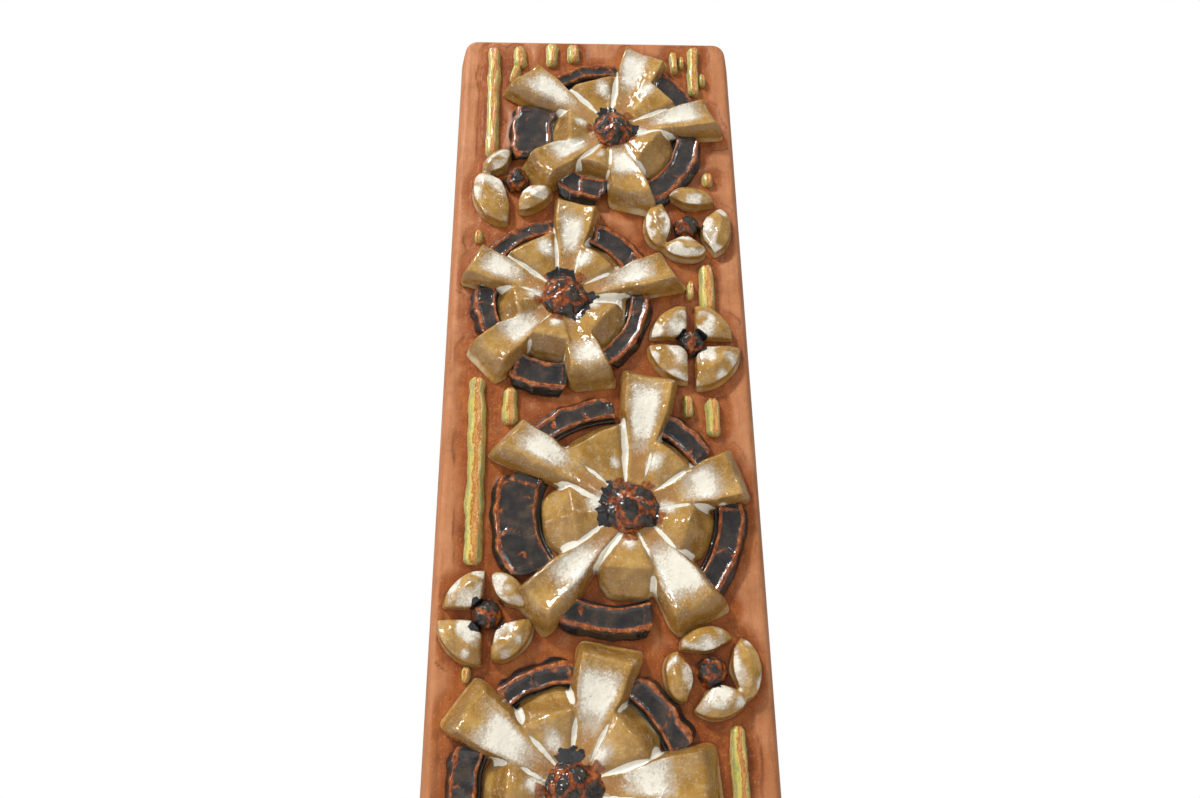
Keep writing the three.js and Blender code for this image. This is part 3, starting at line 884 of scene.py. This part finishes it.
@dataclass
class Flower:
    """A large flower: fused petals, the bands round them and the bud."""

    layout: Layout
    seed: float
    arm_root: float = 5.0
    arm_neck: float = 0.42  # shares of crest_at
    arm_shoulder: float = 0.74
    arm_root_half: float = 3.4
    arm_throat: float = 2.6  # half the width of the glazed top at the root
    arm_lip: float = 2.5  # how much narrower that half is than the petal's at the crest
    arm_height: float = 9.8
    arm_end_spread: float = 1.15
    hollow: float = 1.7
    wedge_root: float = 6.0
    wedge_root_half: float = 1.8
    collar_radius: float = 26.0
    collar_height: float = 3.2
    band_height: float = 4.2
    band_tuck: float = 1.6
    band_round: float = 6.0
    band_steps: int = 46
    bud_height: float = 9.6
    voxel: float = 0.5
    smoothing: int = 5

    def arm_stops(self, arm: Arm) -> list[float]:
        """Distances of a long petal's root, neck, shoulder and crest from the middle."""
        return [self.arm_root, arm.crest_at * self.arm_neck, arm.crest_at * self.arm_shoulder, arm.crest_at]

    def arm_row(self, arm: Arm, s: float) -> tuple[float, float, float, float]:
        """Size of a long petal at a distance from the middle.

        Args:
            arm: The petal.
            s: The distance, up to past the crest.

        Returns:
            Half width at the foot, share of the side runs, rise and dip of the top.
        """
        root, half = self.arm_root_half, arm.width / 2
        if s <= arm.crest_at:
            rows = (
                (root, mix(root, half, 0.2), mix(root, half, 0.8), half * 0.98),
                (0.3, 0.45, 0.85, 1.0),
                (0.42, 0.62, 0.9, 1.0),
                (0.2, self.hollow * 0.5, self.hollow, self.hollow),
            )
            foot, share, rise, dip = (np.interp(s, self.arm_stops(arm), row) for row in rows)
            return foot, share, rise * self.arm_height, dip
        t = (s - arm.crest_at) / (arm.end_run * self.arm_end_spread)
        foot = half * (0.98 + 0.04 * math.sin(math.pi * t) - 0.1 * t**3)
        rise = self.arm_height * (1 - t**1.5) - ROOT_DEPTH * t**3
        return foot, mix(1, 0.5, t), rise, self.hollow * (1 - t)

    def arm_rings(self, arm: Arm) -> list[Ring]:
        """Rings of a long petal, from its root to the foot of its end."""
        place = placed_at(self.layout.centre, arm.angle)
        inner = np.linspace(self.arm_root, arm.crest_at, 18)
        outer = arm.crest_at + np.linspace(0, 1, 9)[1:] * arm.end_run * self.arm_end_spread
        rings = []
        for s in [*inner, *outer]:
            foot, share, rise, dip = self.arm_row(arm, s)
            lean = math.tan(math.radians(arm.skew)) * (s / arm.crest_at) ** 2
            left, right = foot - arm.left_run * share, foot - arm.right_run * share
            top = [(mix(-right, left, k / 8), rise - dip * (1 - (k / 4 - 1) ** 2)) for k in range(9)]
            section = side(-foot, -right, rise, 0.65)[:-1] + top + side(foot, left, rise, 0.65)[-2::-1]
            rings.append([place(s + a * lean, a, max(h, -ROOT_DEPTH)) for a, h in section])
        return rings

    def wedge_rings(self, wedge: Wedge) -> list[Ring]:
        """Rings of a short petal, from its root beside the bud to its outer foot."""
        place = placed_at(self.layout.centre, wedge.angle)
        root, half, height, crest = self.wedge_root_half, wedge.half, wedge.height, wedge.crest
        cuts = (  # distance from the middle, half width at the foot, half width of the top, rise
            (self.wedge_root, root + 0.8, 0.5, height * 0.5),
            (wedge.peak_at * 0.62, mix(root, half, 0.6) + 0.8, crest * 0.5, height * 0.82),
            (wedge.peak_at, half + 1.0, crest * 1.08, height + 1.4),
            (mix(wedge.peak_at, wedge.reach, 0.55), half + 0.2, crest * 0.9, height * 0.6),
            (wedge.reach - 0.8, half * 0.74, crest * 0.66, height * 0.26),
            (wedge.reach + 0.4, half * 0.5, crest * 0.4, -ROOT_DEPTH),
        )
        stops, *rows = zip(*cuts)
        rings = []
        for s in np.linspace(stops[0], stops[-1], 24):
            foot, top, rise = (float(np.interp(s, stops, row)) for row in rows)
            fall = 0.22 * float(step(wedge.peak_at, wedge.reach, s))
            ridge = [(top * 0.66, rise * (0.95 - fall)), (top * 0.33, rise * (0.985 - fall * 0.3)), (0, rise)]
            right = side(foot, top, rise * (0.92 - fall), 0.5) + ridge
            section = [(-a, h) for a, h in right] + right[-2::-1]
            rings.append([place(s, a, max(h, -ROOT_DEPTH)) for a, h in section])
        return rings

    def petals(self) -> bpy.types.Object:
        """The long and the short petals, melted together."""
        bm = bmesh.new()
        for arm in self.layout.arms:
            draw_form(bm, self.arm_rings(arm))
        for wedge in self.layout.wedges:
            draw_form(bm, self.wedge_rings(wedge))
        place = placed_at(self.layout.centre, 0)
        collar = (
            (self.collar_radius, -ROOT_DEPTH), (self.collar_radius - 0.5, 0.6),
            (self.collar_radius * 0.78, self.collar_height * 0.7),
            (self.collar_radius * 0.48, self.collar_height),
        )
        turns = [k * math.tau / 48 for k in range(48)]
        draw_form(bm, [[place(r * math.cos(t), r * math.sin(t), h) for t in turns] for r, h in collar])
        piece = to_object(f"{self.layout.name}_petals", fuse(bm, self.voxel, self.smoothing))
        skin = Skin(piece)
        soft = cloud(skin.places, 12, self.seed) * 0.75 + cloud(skin.places, 4.5, self.seed + 3) * 0.22 - 0.1
        wide = skin.hollow(45)
        skin.push(soft * step(-0.5, 1.5, skin.places[:, 2]))
        self.mark_petals(Skin(piece), wide)
        return piece

    def mark_petals(self, skin: Skin, wide: Field) -> None:
        """Marks where the glaze pools, thins and runs on the petals.

        Args:
            skin: The petals.
            wide: How far each point lies in a valley.
        """
        places, rise = skin.places, skin.places[:, 2]
        radius = np.hypot(*polar(places, self.layout.centre, 0))
        from_bud = radius - self.layout.bud_radius
        ragged = cloud(places, 2.5, self.seed + 7)
        facing = skin.outwards[:, 2]
        between = np.ones(len(places))
        pool, root, rust = np.zeros((3, len(places)))
        for arm in self.layout.arms:
            s, a = polar(places, self.layout.centre, arm.angle)
            s = s - a * math.tan(math.radians(arm.skew)) * (s / arm.crest_at) ** 2
            start, end, middle, width = arm.pool
            top = arm.width / 2 - self.arm_lip
            halves = [self.arm_throat, mix(self.arm_throat, top, 0.2), mix(self.arm_throat, top, 0.8), top]
            v, u = a / np.interp(s, self.arm_stops(arm), halves), s / arm.crest_at
            between *= 1 - step(1.05, 0.8, np.abs(v)) * (s > 0)
            lie = step(start - 0.1, start + 0.28, u) * step(end + 0.1, end - 0.16, u)
            lie = lie * step(width + 0.42, width - 0.2, np.abs(v - middle)) * step(0.5, 0.8, facing)
            pool = np.maximum(pool, lie)
            root = np.maximum(root, step(0.56, 0.4, u) * step(0.15, 0.25, u) * step(1.0, 0.6, np.abs(v)))
        for wedge in self.layout.wedges:
            s, a = polar(places, self.layout.centre, wedge.angle)
            along, across, size = wedge.spot
            d = np.hypot((s - wedge.peak_at * along) / 1.3, a - across * wedge.half)
            pool = np.maximum(pool, 0.9 * step(size * 1.35, size * 0.1, d) * step(0.4, 0.7, facing))
            body = np.interp(s, [self.wedge_root, wedge.peak_at], [self.wedge_root_half, wedge.half])
            between *= 1 - step(0.9, 0.66, np.abs(a) / body) * (s > 0)
            ends = step(2.8, 0.2, from_bud) * step(4.2, 2.2, np.abs(a)) * (s > 0)
            rust = np.maximum(rust, ends * step(0.25, 0, wide))
        line = step(-0.12, 0.1, wide + 0.06 * ragged) * step(38, 32, radius)
        line = line * step(7, 5, rise) * step(1.2, 2.2, rise)
        mouth = step(3.2, 1.4, from_bud + ragged) * step(-0.05, 0.15, wide)
        skin.mark("line", np.maximum(line, mouth) * between)
        skin.mark("pool", pool)
        skin.mark("root", root)
        skin.mark("rust", rust)
        patchy = step(-0.05, 0.2, cloud(places, 11, self.seed + 21))
        skin.mark("dark", step(2.2, 0.7, from_bud + ragged * 2.4 - step(-0.05, 0.2, wide)) * patchy)
        # where the steep sides get their painted shade
        skin.mark("steep_shade", step(0.95, 0.6, facing) * step(0.5, 3, rise))
        skin.mark("foot", step(4.6, 1.2, rise) * step(0.85, 0.6, facing))
        skin.mark("thin", step(-0.06, -0.3, skin.hollow(8)))

    def cover(self, arm: Arm, radius: float) -> float:
        """Half the angle, in degrees, that a long petal covers at a radius of the ring."""
        share = min(radius / arm.crest_at, 1) ** 2
        return math.degrees((mix(self.arm_root_half, arm.width / 2, share) - self.band_tuck) / radius)

    def band_rings(self, k: int, marks: list[tuple[float, float]]) -> list[Ring]:
        """Rings of a band, each a cut across it from its inner to its outer foot.

        Args:
            k: Number of the band, and of the long petal before it.
            marks: Takes how much each point lies on a rim, and how black it is: on the flanks, and on the
                inner skirt, where the black is partly painted shade in the gap beside the band.

        Returns:
            The rings.
        """
        arms, band = self.layout.arms, self.layout.bands[k]
        arm, after = arms[k], arms[(k + 1) % len(arms)]
        turn = 360 if after.angle < arm.angle else 0
        wide = band.outer - band.inner
        length = math.radians(after.angle + turn - arm.angle) * (band.inner + band.outer) / 2
        rings = []
        for t in (i / self.band_steps for i in range(self.band_steps + 1)):
            ring = []
            for w in BAND_CUT:
                radius = mix(band.inner, band.outer, w)
                pull = math.degrees(self.band_round * max(0.0, (w - 0.3) / 0.7) ** 2.2 / radius)
                low = arm.angle + self.cover(arm, radius) + pull
                high = after.angle + turn - self.cover(after, radius) - pull
                ragged = noise.noise(Vector((t * length / 9, w * 1.5, k * 3 + self.seed))) * 1.1
                left, out = w * wide, (1 - w) * wide
                fade = 0.75 + 0.5 * noise.noise(Vector((t * length / 14, w * 2, k * 5 + self.seed)))
                bend = 0.05 * math.sin(w * 7 + k * 2)
                ridge = max(
                    hump(left - 1.0, 0.7), hump(out - 3.1, 1.0),
                    *(0.5 * hump((t - end) * length, 1.0) for end in (0.08, 0.92)),
                    *(fade * hump((t - across + bend) * length, 1.0) for across in band.ridges),
                )
                top = self.band_height - 0.9 + ridge * 0.75
                edge = step(0, 0.9, left) * step(0, 2.9, out) ** 0.8
                # the skirt reaches into the gap beside the band, where its black is partly painted shade
                skirt = mix(-ROOT_DEPTH, 0.6, step(-0.09, -0.05, w) * step(0, 0.4, out))
                rise = mix(skirt, top, edge) + 0.2 * ragged
                place = placed_at(self.layout.ring_centre, mix(low, high, t))
                ring.append(place(radius + ragged * mix(0.4, 1.0, w), 0, rise))
                # second value: black flank glaze, and on the inner skirt partly painted shade
                marks.append((ridge * step(0.4, 0.9, left), step(2.2, 1.4, out) + step(0.6, 0.3, left)))
            rings.append(ring)
        return rings

    def bands(self) -> bpy.types.Object:
        """The curved bands, with rims round sunken pockets."""
        bm = bmesh.new()
        marks: list[tuple[float, float]] = []
        for k in range(len(self.layout.bands)):
            draw_form(bm, self.band_rings(k, marks))
        piece = to_object(f"{self.layout.name}_bands", bm)
        skin = Skin(piece)
        rims, flanks_and_gap_shade = np.array(marks).T
        skin.mark("rim", rims)
        skin.mark("flank_and_gap_shade", flanks_and_gap_shade)
        return piece

    def bud(self) -> bpy.types.Object:
        """The lumpy bud."""
        name, centre = f"{self.layout.name}_bud", self.layout.centre
        return make_bud(name, centre, self.layout.bud_radius, self.bud_height, self.seed)

    def build(self, dresser: Dresser) -> list[bpy.types.Object]:
        """Makes the flower's pieces.

        Args:
            dresser: Gives them their finish.

        Returns:
            The pieces.
        """
        return [
            dresser.dress(self.petals(), Glaze.PETAL),
            dresser.dress(self.bands(), Glaze.DARK),
            dresser.dress(self.bud(), Glaze.BUD),
        ]


def make_bud(
    name: str, centre: Sequence[float], radius: float, height: float, seed: float
) -> bpy.types.Object:
    """Makes a lumpy dome.

    Args:
        name: The piece's name.
        centre: x and z of its middle.
        radius: Its radius on the ground.
        height: Its rise.
        seed: Gives each bud its own lumps.

    Returns:
        The piece.
    """
    bm = bmesh.new()
    bmesh.ops.create_icosphere(bm, subdivisions=5, radius=1.0)
    for vert in bm.verts:
        x, z, up = vert.co
        lump = 0.98 + 0.16 * noise.noise(Vector((x, z, up)) * 1.8 + Vector((seed, 0, 0)))
        lump += 0.09 * noise.noise(Vector((x, z, up)) * 3.6 + Vector((0, seed, 0)))
        rise = up * height * min(lump, 1.0) if up > 0 else up * ROOT_DEPTH
        vert.co = ground(centre[0] + x * radius * lump, centre[1] + z * radius * lump, rise)
    return to_object(name, bm)


# ---------------------------------------------------------------- small flowers and strokes


@dataclass
class SmallFlower:
    """A small flower of a few petals round a bud."""

    name: str
    centre: tuple[float, float]
    petal_rows: tuple[Petal, ...]
    seed: float
    height: float = 6.4
    gap: float = 1.6
    bud_radius: float = 5.4
    bud_height: float = 6.2
    voxel: float = 0.45
    smoothing: int = 3

    def rings(self, petal: Petal) -> list[Ring]:
        """Rings of a petal, each a cut through it from the bud outwards."""
        rings = []
        widest = petal.span + 2 + 5 * step(0.6, 1, petal.straight)
        for u in np.linspace(-1, 1, 27):
            inner = petal.inner - 1
            chord = inner / math.cos(math.radians(u * petal.span))
            near = mix(inner, chord, petal.straight)
            far = petal.outer * (1 + petal.growth * u)
            close = max(0.1, 1.5 * (petal.straight - 0.4)) * u**4
            near, far = mix(near, mix(near, far, 0.6), close), mix(far, mix(near, far, 0.6), close)
            rise = self.height * (1 - 0.45 * u**4)
            crest = mix(near, far, 0.6)
            stops = [near, mix(near, crest, 0.15), crest, mix(crest, far, 0.75), far]
            rises = [-ROOT_DEPTH, rise * 0.7, rise, rise * 0.6, -ROOT_DEPTH]
            ring = []
            for r in np.interp(np.linspace(0, 4, 21), range(5), stops):
                turn = u * (widest - math.degrees(math.asin(self.gap / max(r, 4.5))))
                place = placed_at(self.centre, petal.angle + turn)
                ring.append(place(r, 0, float(np.interp(r, stops, rises))))
            rings.append(ring)
        return rings

    def petals(self) -> bpy.types.Object:
        """The petals, one skin."""
        bm = bmesh.new()
        for petal in self.petal_rows:
            draw_form(bm, self.rings(petal))
        piece = to_object(f"{self.name}_petals", fuse(bm, self.voxel, self.smoothing))
        skin = Skin(piece)
        soft = cloud(skin.places, 7, self.seed) * 0.3 + cloud(skin.places, 3, self.seed + 2) * 0.12
        skin.push(soft * step(-0.5, 1.5, skin.places[:, 2]))
        self.mark_petals(Skin(piece))
        return piece

    def mark_petals(self, skin: Skin) -> None:
        """Marks where the glaze pools and thins.

        Args:
            skin: The petals.
        """
        places, rise = skin.places, skin.places[:, 2]
        radius = np.hypot(*polar(places, self.centre, 0))
        facing = skin.outwards[:, 2]
        ragged = cloud(places, 4, self.seed + 5)
        pool = step(12.5, 8, radius + ragged * 3.5) * (0.75 + 0.5 * cloud(places, 9, self.seed + 9))
        milk = 0.8 * step(0.0, 0.4, cloud(places, 6.5, self.seed + 13) + 0.3 * ragged)
        skin.mark("pool", np.maximum(pool, milk) * step(0.35, 0.7, facing))
        for name in ("root", "line", "rust"):
            skin.mark(name, np.zeros(len(places)))
        skin.mark("dark", step(1.4, 0.3, radius - self.bud_radius + ragged * 2.4))
        # where the steep sides get their painted shade
        skin.mark("steep_shade", step(0.75, 0.35, facing) * step(0.5, 2.5, rise))
        skin.mark("foot", step(4.4, 1.2, rise) * step(0.9, 0.6, facing))
        skin.mark("thin", step(-0.06, -0.3, skin.hollow(8)))

    def build(self, dresser: Dresser) -> list[bpy.types.Object]:
        """Makes the flower's pieces.

        Args:
            dresser: Gives them their finish.

        Returns:
            The pieces.
        """
        bud = make_bud(f"{self.name}_bud", self.centre, self.bud_radius, self.bud_height, self.seed)
        return [dresser.dress(self.petals(), Glaze.PETAL), dresser.dress(bud, Glaze.BUD)]


@dataclass
class Strokes:
    """The thin upright strokes along the borders."""

    rows: tuple[tuple[float, float, float, float, float], ...] = STROKES
    height: float = 2.8

    def build(self, dresser: Dresser) -> list[bpy.types.Object]:
        """Makes the strokes as one piece.

        Args:
            dresser: Gives them their finish.

        Returns:
            The piece, in a list.
        """
        bm = bmesh.new()
        shares: list[float] = []
        across = [-1.0, -0.9, -0.75, -0.6, -0.45, -0.25, 0.0, 0.25, 0.45, 0.6, 0.75, 0.9, 1.0]
        for k, (x, z, length, width, lean) in enumerate(self.rows):
            place = placed_at((x, z), 90 + lean)
            count = max(10, round(length / 0.5))
            rings = []
            for i in range(count + 1):
                t = i / count
                s = (t - 0.5) * length
                end = min(1.0, min(t, 1 - t) * length / 1.6)
                sway = noise.noise(Vector((s / 16, k * 3.1, 0.5))) * 0.5
                grow = 1.0 + 0.2 * noise.noise(Vector((s / 9, k * 5.7, 4)))
                grow += 0.08 * noise.noise(Vector((s / 2.5, k * 2.7, 9)))
                half = width / 2 * grow * (0.6 + 0.4 * end)
                crest = self.height * (0.55 + 0.45 * end)
                ring = []
                for v in across:
                    rough = noise.noise(Vector((s / 9 + 0.8 * v, v * 1.9 + 0.5, k * 2.3 + 0.4))) * 0.6
                    rise = mix(-ROOT_DEPTH, crest, 1 - v**4) - 0.35 * hump(v, 0.3) + rough * (abs(v) < 0.95)
                    ring.append(place(s, v * half + sway, min(rise, self.height)))
                    shares.append((v + 1) / 2)
                rings.append(ring)
            draw_form(bm, rings)
        piece = to_object("strokes", bm)
        Skin(piece).mark("across", np.array(shares))
        return [dresser.dress(piece, Glaze.STROKE)]


# ---------------------------------------------------------------- the slab


@dataclass
class Slab:
    """The flat slab: its worked front, its sides, and its back with a recess to hang it by."""

    width: float = 125.0
    length: float = 401.0
    thickness: float = 13.0
    draft: float = 3.2
    corner: float = 5.0
    edge_round: float = 1.4
    recess: tuple[float, float, float, float] = (22.0, 14.0, 6.0, 150.0)  # width, height, depth, z
    cell: float = 0.9  # spacing of the points on the front

    def outline(self, x: float, z: float, half_x: float, half_z: float) -> tuple[float, float]:
        """Draws a point of a rectangle in to round its corners.

        Args:
            x: Place across.
            z: Place along.
            half_x: Half the rectangle's width.
            half_z: Half its length.

        Returns:
            The moved place.
        """
        cx, cz = half_x - self.corner, half_z - self.corner
        dx, dz = abs(x) - cx, abs(z) - cz
        if dx <= 0 or dz <= 0:
            return x, z
        pull = max(dx, dz) / math.hypot(dx, dz)
        return math.copysign(cx + dx * pull, x), math.copysign(cz + dz * pull, z)

    def build(self, dresser: Dresser, relief: Sequence[bpy.types.Object]) -> list[bpy.types.Object]:
        """Makes the slab.

        Args:
            dresser: Gives it its finish.
            relief: The raised pieces, which the ground is worked around.

        Returns:
            The slab, in a list.
        """
        bm = bmesh.new()
        inset = self.draft + self.edge_round
        half_x, half_z = self.width / 2 - inset, self.length / 2 - self.edge_round * 0.5
        counts = round(2 * half_x / self.cell), round(2 * half_z / self.cell)
        bmesh.ops.create_grid(bm, x_segments=counts[0], y_segments=counts[1], size=1.0)
        for vert in bm.verts:
            x, z = self.outline(vert.co.x * half_x, vert.co.y * half_z, half_x, half_z)
            vert.co = ground(x, z, 0)
        rim = [edge for edge in bm.edges if edge.is_boundary]
        rows = [  # inset of the long sides, inset of the ends, height over the back
            (self.draft * 0.9 + self.edge_round * 0.4, 0.2, self.thickness - self.edge_round * 0.3),
            (self.draft * 0.9, 0.1, self.thickness - self.edge_round),
            (self.draft * 0.55, 0.06, self.thickness * 0.6),
            (self.draft * 0.2, 0.03, self.thickness * 0.25),
            (0.0, 0.0, 0.7),
            (0.7, 0.7, 0.0),
        ]
        for side_inset, end_inset, height in rows:
            grown = bmesh.ops.extrude_edge_only(bm, edges=rim)["geom"]
            rim = [part for part in grown if isinstance(part, bmesh.types.BMEdge)]
            new_x, new_z = self.width / 2 - side_inset, self.length / 2 - end_inset
            for vert in (part for part in grown if isinstance(part, bmesh.types.BMVert)):
                x, z = vert.co.x / MM, vert.co.z / MM
                vert.co = Vector((x * new_x / half_x, -height, z * new_z / half_z)) * MM
            half_x, half_z = new_x, new_z
        self.close_back(bm, rim)
        piece = to_object("slab", bm)
        self.work_ground(Skin(piece), relief)
        return [dresser.dress(piece, Glaze.CLAY)]

    def close_back(self, bm: bmesh.types.BMesh, rim: list[bmesh.types.BMEdge]) -> None:
        """Closes the back and sinks the recess into it.

        Args:
            bm: The open slab.
            rim: The edge loop round the back.
        """
        width, height, depth, z = self.recess
        for vert in {v for edge in rim for v in edge.verts}:
            vert.co.y = 0
        loop = bmesh.ops.create_circle(bm, segments=64, radius=1.0)
        inner = list(dict.fromkeys(edge for vert in loop["verts"] for edge in vert.link_edges))
        for vert in loop["verts"]:
            x, y = vert.co.x, vert.co.y
            grow = 1 / max(abs(x), abs(y)) ** 0.86
            vert.co = Vector((x * grow * width / 2, 0, z + y * grow * height / 2)) * MM
        bmesh.ops.triangle_fill(bm, edges=[*rim, *inner], use_beauty=True)
        grown = bmesh.ops.extrude_edge_only(bm, edges=inner)["geom"]
        for part in grown:
            if isinstance(part, bmesh.types.BMVert):
                part.co.y = -depth * MM
        bmesh.ops.holes_fill(bm, edges=[part for part in grown if isinstance(part, bmesh.types.BMEdge)])
        face_outwards(bm)
        for edge in bm.edges:
            if all(vert.co.y > -(depth + 0.5) * MM for vert in edge.verts):
                edge.smooth = edge.calc_face_angle(0.0) < 0.6

    def work_ground(self, skin: Skin, relief: Sequence[bpy.types.Object]) -> None:
        """Cuts the ground down around the relief and leaves soft ledges and tool marks in it, and marks
        painted shade at the relief's foot.

        Args:
            skin: The slab.
            relief: The raised pieces.
        """
        feet = []
        for piece in relief:
            places = Skin(piece).places
            at_ground = (places[:, 2] > -0.6) & (places[:, 2] < 0.9)
            feet.append(places[at_ground][::3])  # every third point is close enough
        points = np.concatenate(feet)
        tree = kdtree.KDTree(len(points))
        for k, (x, z, _) in enumerate(points):
            tree.insert((x, z, 0), k)
        tree.balance()
        front = np.abs(skin.places[:, 2]) < 0.01
        away = np.full(len(front), 40.0)  # distance to the relief, and more than enough off the front
        rows = np.nonzero(front)[0]
        away[rows] = [tree.find((x, z, 0))[2] for x, z, _ in skin.places[rows]]
        flat = skin.places * np.array([1, 1, 0])
        shift = cloud(flat, 14, 2.0)
        ledge = step(5.4, 3.6, away + shift * 2)
        outer = step(9, 7.6, away + shift * 3) * step(-0.1, 0.3, cloud(flat, 30, 8.0))
        streak = cloud(flat * np.array([1, 0.06, 1]), 2.4, 5.0)
        border = step(0, 3, self.width / 2 - 4.6 - np.abs(skin.places[:, 0]))
        drop = 0.5 * ledge + 0.18 * outer + (0.12 * streak + 0.1) * step(2, 6, away)
        skin.places[:, 2] -= np.where(front, drop * border, 0)
        skin.write_places()
        inward = step(0, 10, self.width / 2 - 5 - np.abs(skin.places[:, 0]))
        skin.mark("near", step(9, 0.5, away + shift * 3) * mix(0.75, 1, inward) * front)
        # tool cuts along the ledges; hump(away, 0.9) is painted shade in the crease at the foot of the relief
        cut = hump(away + shift * 2 - 4.6, 0.7) * step(-0.3, 0.3, cloud(flat, 18, 12.0))
        skin.mark("cut", np.maximum(cut, hump(away, 0.9)) * front)


# ---------------------------------------------------------------- camera, light and stage


@dataclass(frozen=True)
class View:
    """The camera's place in millimetres, its turn in degrees and its lens."""

    place: tuple[float, float, float] = (-11.7, -356.4, -118.9)
    yaw: float = -2.02
    pitch: float = 22.36
    roll: float = -0.58
    lens: float = 28.5

    def build(self) -> None:
        """Makes the camera and sets it as the scene's."""
        data = bpy.data.cameras.new("camera")
        data.lens = self.lens
        data.sensor_width = 36.0
        data.clip_start = 0.01
        camera = bpy.data.objects.new("camera", data)
        bpy.context.scene.collection.objects.link(camera)
        turn = Matrix.Rotation(math.radians(self.yaw), 3, "Z")
        turn = turn @ Matrix.Rotation(math.radians(self.pitch), 3, "X")
        right, ahead, up = turn @ Vector((1, 0, 0)), turn @ Vector((0, 1, 0)), turn @ Vector((0, 0, 1))
        roll = math.radians(self.roll)
        across = math.cos(roll) * right + math.sin(roll) * up
        top = math.cos(roll) * up - math.sin(roll) * right
        frame = Matrix((across, top, -ahead)).transposed().to_4x4()
        frame.translation = Vector(self.place) * MM
        camera.matrix_world = frame
        bpy.context.scene.camera = camera


@dataclass(frozen=True)
class Lamp:
    """A soft box: place and target in metres, size in metres, power in watts."""

    name: str
    place: tuple[float, float, float]
    target: tuple[float, float, float]
    size: tuple[float, float]
    power: float

    def build(self) -> None:
        """Makes the lamp."""
        data = bpy.data.lights.new(self.name, "AREA")
        data.shape = "RECTANGLE"
        data.size, data.size_y = self.size
        data.energy = self.power
        lamp = bpy.data.objects.new(self.name, data)
        lamp.location = self.place
        lamp.rotation_euler = (Vector(self.target) - Vector(self.place)).to_track_quat("-Z", "Y").to_euler()
        bpy.context.scene.collection.objects.link(lamp)


def light_room() -> None:
    """Soft studio light: a pale room, and soft boxes of which the strongest is up on the left."""
    world = bpy.data.worlds.new("room")
    world.use_nodes = True
    nodes = Nodes(world.node_tree)
    height = nodes.add("SeparateXYZ", {"Vector": nodes.add("TexCoord", out="Generated")}, out="Z")
    span = {"From Min": -0.5, "From Max": 0.7, "To Min": 0.1, "To Max": 0.42}
    level = nodes.add("MapRange", {"Value": height, **span})
    light = nodes.add("Math", {0: level, 1: nodes.add("LightPath", out="Is Camera Ray")}, operation="MAXIMUM")
    nodes.join(world.node_tree.nodes["Background"], {"Color": (1, 1, 1, 1), "Strength": light})
    bpy.context.scene.world = world
    for lamp in (
        Lamp("key", (-0.65, -0.75, 0.95), (0, 0, 0), (0.14, 0.14), 12.5),
        Lamp("right", (0.6, -0.9, 0.7), (0, 0, 0), (0.06, 0.06), 1.7),
        Lamp("side", (-1.1, -0.5, 0.1), (0, 0, 0), (0.08, 0.14), 1.8),
        Lamp("front", (0.1, -1.2, -0.55), (0, 0, -0.05), (0.08, 0.04), 0.45),
    ):
        lamp.build()


def lay_floor() -> None:
    """A plain pale floor under the plaque."""
    bm = bmesh.new()
    bmesh.ops.create_grid(bm, x_segments=1, y_segments=1, size=3.0)
    floor = to_object("floor", bm)
    for vert in floor.data.vertices:
        vert.co.z = -Slab.length / 2 * MM
    floor.data.materials.append(FloorPaint().material)


# ---------------------------------------------------------------- the whole


def main() -> None:
    """Builds and dresses the plaque and sets its camera, light and floor."""
    logging.basicConfig(level=logging.INFO, format="%(name)s: %(message)s")
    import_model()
    bpy.context.scene.view_settings.view_transform = "Standard"
    View().build()
    light_room()
    lay_floor()
    dresser = Dresser()
    relief: list[bpy.types.Object] = []
    for k, layout in enumerate(LAYOUTS):
        relief += Flower(layout, seed=3.0 + 5.3 * k).build(dresser)
    for k, (name, (centre, petals)) in enumerate(SMALL_LAYOUTS.items()):
        relief += SmallFlower(name, centre, petals, seed=31.0 + 4.1 * k).build(dresser)
    relief += Strokes().build(dresser)
    Slab().build(dresser, relief)


if __name__ == "__main__":
    main()
